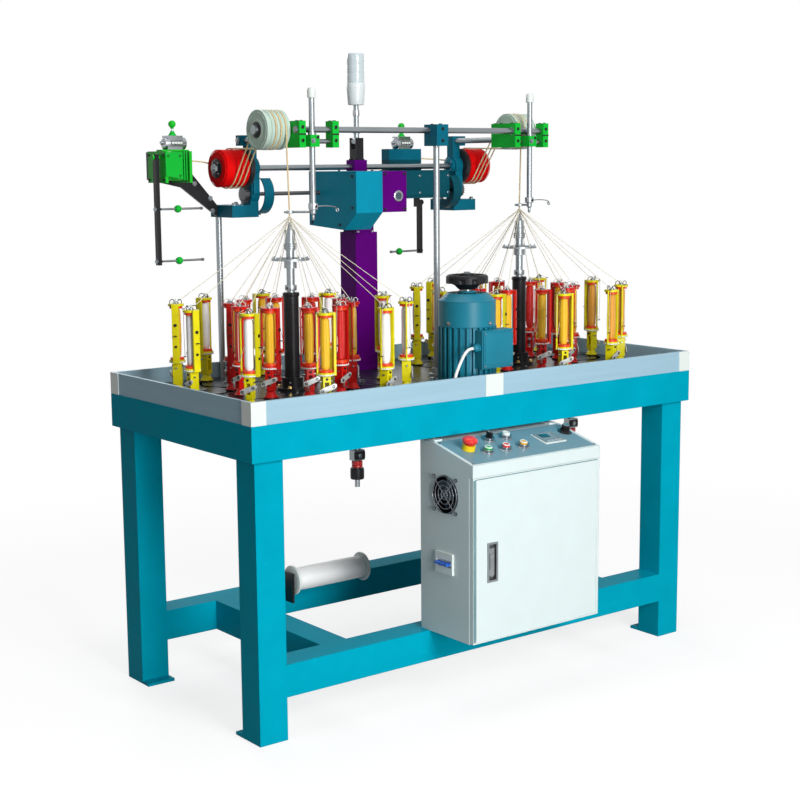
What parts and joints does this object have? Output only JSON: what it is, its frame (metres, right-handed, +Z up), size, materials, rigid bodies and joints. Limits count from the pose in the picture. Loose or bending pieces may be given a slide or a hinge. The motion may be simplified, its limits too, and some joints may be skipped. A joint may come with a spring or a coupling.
{
  "type": "braiding machine",
  "caption": "Table-mounted maypole braiding machine: carrier heads on a tracked bed, finned motor, geared take-off drums, guide wheels, signal lamp and control cabinet.",
  "frame": {"origin": "floor level under the middle of the table, at the centre of the foot bolt pattern", "axes": "+Z up, X along the table, -Y towards the operator's side with the control cabinet"},
  "size_m": [1.5, 0.861, 1.698],
  "materials": {
    "teal_paint": "smooth gloss paint",
    "dark_steel": "oiled steel",
    "black_track": "polished black",
    "rim_aluminium": "brushed",
    "white_plastic": "smooth",
    "black_metal": "satin black",
    "bright_steel": "turned and polished",
    "black_plastic": "moulded",
    "yellow_paint": "gloss paint",
    "red_paint": "gloss paint",
    "orange_plastic": "moulded",
    "white_yarn": "wound yarn",
    "gold_yarn": "wound yarn",
    "copper_yarn": "wound yarn",
    "purple_paint": "gloss paint",
    "red_rubber": "ground rubber",
    "green_paint": "gloss paint",
    "cabinet_grey": "powder coat",
    "bezel_chrome": "bright",
    "red_plastic": "moulded",
    "green_plastic": "moulded",
    "amber_plastic": "moulded",
    "blue_plastic": "moulded",
    "sensor_red": "moulded"
  },
  "bodies": {
    "frame": {"base_frame": "teal_paint", "motor_body": "teal_paint", "terminal_box": "teal_paint", "takeoff_housings": "teal_paint", "gear_plate": "dark_steel", "horn_gears": "dark_steel", "bed_plate": "black_track", "track_islands": "black_track", "rim_rails": "rim_aluminium", "rim_corners": "white_plastic", "breaker_body": "white_plastic", "motor_cable": "white_plastic", "column_sleeves": "black_metal", "lamp_bracket": "black_metal", "spool_bracket": "black_metal", "fan_frame": "black_metal", "forming_tubes": "bright_steel", "guide_rods": "bright_steel", "braid_ropes": "gold_yarn", "takeoff_column": "purple_paint", "rod_clamps": "green_paint", "counters": "green_paint", "cabinet_shell": "cabinet_grey", "panel_bezels": "bezel_chrome", "stop_sensors": "sensor_red"},
    "left_outer": {"left_outer_carriers": "yellow_paint", "left_outer_bobbins": "orange_plastic", "left_outer_yarn": "white_yarn"},
    "left_inner": {"left_inner_carriers": "red_paint", "left_inner_bobbins": "orange_plastic", "left_inner_yarn": "gold_yarn"},
    "right_outer": {"right_outer_carriers": "yellow_paint", "right_outer_bobbins": "orange_plastic", "right_outer_yarn": "copper_yarn"},
    "right_inner": {"right_inner_carriers": "red_paint", "right_inner_bobbins": "orange_plastic", "right_inner_yarn": "gold_yarn"},
    "motor_rotor": {"motor_shaft": "bright_steel", "handwheel": "black_plastic"},
    "drums": {"drum_shaft": "bright_steel", "takeoff_drums": "red_rubber"},
    "pinions": {"drive_shaft": "bright_steel"},
    "left_guide": {"left_wheel": "white_plastic"},
    "right_guide": {"right_wheel": "white_plastic"},
    "lamp": {"signal_lamp": "white_plastic", "lamp_stand": "bright_steel"},
    "left_stop_arm": {"left_arm": "black_metal"},
    "right_stop_arm": {"right_arm": "black_metal"},
    "door": {"cabinet_door": "cabinet_grey"},
    "latch": {"door_latch": "black_plastic"},
    "stop": {"stop_button": "red_plastic"},
    "white": {"white_button": "white_plastic"},
    "green": {"green_button": "green_plastic"},
    "red": {"red_button": "red_plastic"},
    "amber": {"amber_button": "amber_plastic"},
    "mode_switch": {"selector": "black_plastic"},
    "speed": {"speed_knob": "black_plastic"},
    "fan": {"fan_rotor": "black_plastic"},
    "breaker": {"breaker_toggles": "blue_plastic"},
    "spool": {"core_spool": "white_yarn"}
  },
  "joints": [
    {"name": "left_outer_spin", "type": "hinge", "parent": "frame", "child": "left_outer", "pos_m": [-0.4, 0, 0.803], "axis": [0, 0, 1], "continuous": true},
    {"name": "left_inner_spin", "type": "hinge", "parent": "frame", "child": "left_inner", "pos_m": [-0.4, 0, 0.803], "axis": [0, 0, 1], "continuous": true},
    {"name": "right_outer_spin", "type": "hinge", "parent": "frame", "child": "right_outer", "pos_m": [0.4, 0, 0.803], "axis": [0, 0, 1], "continuous": true},
    {"name": "right_inner_spin", "type": "hinge", "parent": "frame", "child": "right_inner", "pos_m": [0.4, 0, 0.803], "axis": [0, 0, 1], "continuous": true},
    {"name": "motor_spin", "type": "hinge", "parent": "frame", "child": "motor_rotor", "pos_m": [0, -0.238, 0.9], "axis": [0, 0, 1], "continuous": true},
    {"name": "drum_spin", "type": "hinge", "parent": "frame", "child": "drums", "pos_m": [0, 0.25, 1.38], "axis": [1, 0, 0], "continuous": true},
    {"name": "pinion_spin", "type": "hinge", "parent": "frame", "child": "pinions", "pos_m": [0, 0.25, 1.31], "axis": [1, 0, 0], "continuous": true},
    {"name": "left_wheel_spin", "type": "hinge", "parent": "frame", "child": "left_guide", "pos_m": [-0.42, 0.05, 1.478], "axis": [1, 0, 0], "continuous": true},
    {"name": "right_wheel_spin", "type": "hinge", "parent": "frame", "child": "right_guide", "pos_m": [0.42, 0.05, 1.478], "axis": [1, 0, 0], "continuous": true},
    {"name": "lamp_fold", "type": "hinge", "parent": "frame", "child": "lamp", "pos_m": [0, 0.25, 1.452], "axis": [0, 1, 0], "range_deg": [-90, 0]},
    {"name": "left_arm_swing", "type": "hinge", "parent": "frame", "child": "left_stop_arm", "pos_m": [-0.651, 0.244, 1.41], "axis": [1, 0, 0], "range_deg": [-25, 25]},
    {"name": "right_arm_swing", "type": "hinge", "parent": "frame", "child": "right_stop_arm", "pos_m": [0.228, 0.25, 1.275], "axis": [1, 0, 0], "range_deg": [-25, 25]},
    {"name": "door_hinge", "type": "hinge", "parent": "frame", "child": "door", "pos_m": [0.2295, -0.49375, 0.404], "axis": [0, 0, 1], "range_deg": [0, 95]},
    {"name": "latch_hinge", "type": "hinge", "parent": "door", "child": "latch", "pos_m": [-0.146, -0.5035, 0.43], "axis": [-1, 0, 0], "range_deg": [0, 35], "stiffness_Nm_per_rad": 0.2},
    {"name": "stop_push", "type": "slide", "parent": "frame", "child": "stop", "axis": [0, 0.247, -0.969], "range_m": [0, 0.003]},
    {"name": "white_push", "type": "slide", "parent": "frame", "child": "white", "axis": [0, 0.247, -0.969], "range_m": [0, 0.003], "stiffness_N_per_m": 300},
    {"name": "green_push", "type": "slide", "parent": "frame", "child": "green", "axis": [0, 0.247, -0.969], "range_m": [0, 0.003], "stiffness_N_per_m": 300},
    {"name": "red_push", "type": "slide", "parent": "frame", "child": "red", "axis": [0, 0.247, -0.969], "range_m": [0, 0.003], "stiffness_N_per_m": 300},
    {"name": "amber_push", "type": "slide", "parent": "frame", "child": "amber", "axis": [0, 0.247, -0.969], "range_m": [0, 0.003], "stiffness_N_per_m": 300},
    {"name": "selector_turn", "type": "hinge", "parent": "frame", "child": "mode_switch", "pos_m": [-0.052, -0.385, 0.68135], "axis": [0, -0.247, 0.969], "range_deg": [-45, 45]},
    {"name": "speed_turn", "type": "hinge", "parent": "frame", "child": "speed", "pos_m": [0.2, -0.405, 0.67626], "axis": [0, -0.247, 0.969], "range_deg": [-150, 150]},
    {"name": "fan_spin", "type": "hinge", "parent": "frame", "child": "fan", "pos_m": [-0.224, -0.4, 0.561], "axis": [1, 0, 0], "continuous": true},
    {"name": "breaker_switch", "type": "hinge", "parent": "frame", "child": "breaker", "pos_m": [-0.2154, -0.4, 0.384], "axis": [0, 1, 0], "range_deg": [-25, 25]},
    {"name": "spool_spin", "type": "hinge", "parent": "frame", "child": "spool", "pos_m": [-0.158, 0.2, 0.222], "axis": [1, 0, 0], "continuous": true}
  ],
  "couplings": [
    {"joint": "left_inner_spin", "follows": "left_outer_spin", "ratio": -1},
    {"joint": "right_outer_spin", "follows": "left_outer_spin", "ratio": -1},
    {"joint": "right_inner_spin", "follows": "left_outer_spin", "ratio": 1},
    {"joint": "motor_spin", "follows": "left_outer_spin", "ratio": 8},
    {"joint": "drum_spin", "follows": "left_outer_spin", "ratio": 0.2},
    {"joint": "pinion_spin", "follows": "left_outer_spin", "ratio": -0.5},
    {"joint": "left_wheel_spin", "follows": "left_outer_spin", "ratio": -0.21277},
    {"joint": "right_wheel_spin", "follows": "left_outer_spin", "ratio": -0.21277}
  ]
}
